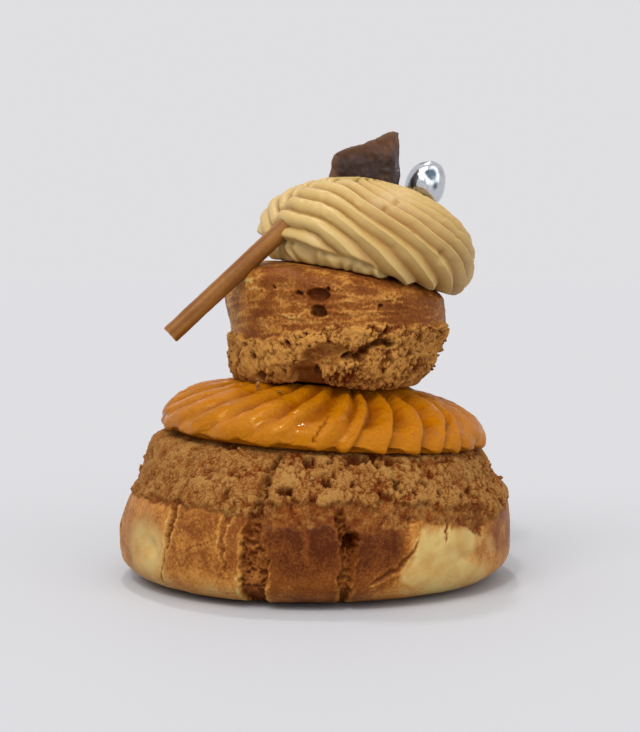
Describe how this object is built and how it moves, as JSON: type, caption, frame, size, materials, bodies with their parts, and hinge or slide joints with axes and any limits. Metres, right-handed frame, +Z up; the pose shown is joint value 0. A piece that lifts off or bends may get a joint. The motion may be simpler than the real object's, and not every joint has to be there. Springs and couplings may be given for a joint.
{
  "type": "religieuse choux pastry",
  "caption": "Small choux bun on a large one, with a piped caramel collar between, a coffee cream rosette on top, a chocolate stick, a chocolate shard and a silvered almond.",
  "frame": {"origin": "centre of the large bun's flat base, at the surface it stands on", "axes": "+Z up, the front towards -Y, +X to the right as seen from the front"},
  "size_m": [0.0779, 0.0774, 0.0889],
  "materials": {
    "craquelin_bun": "browned choux shell with a crumbly sugar craquelin cap, dry and rough",
    "caramel_cream": "smooth salted caramel cream, moist and glossy on the folds",
    "coffee_cream": "piped coffee cream, satin",
    "milk_chocolate": "blond milk chocolate stick, satin",
    "dark_chocolate": "broken dark chocolate dusted with cocoa",
    "silver": "sugar-coated almond with an edible silver skin"
  },
  "bodies": {
    "root": {"large_choux": "craquelin_bun", "caramel_collar": "caramel_cream", "small_choux": "craquelin_bun", "coffee_cream": "coffee_cream", "chocolate_stick": "milk_chocolate", "chocolate_shard": "dark_chocolate", "silvered_almond": "silver"}
  },
  "joints": []
}
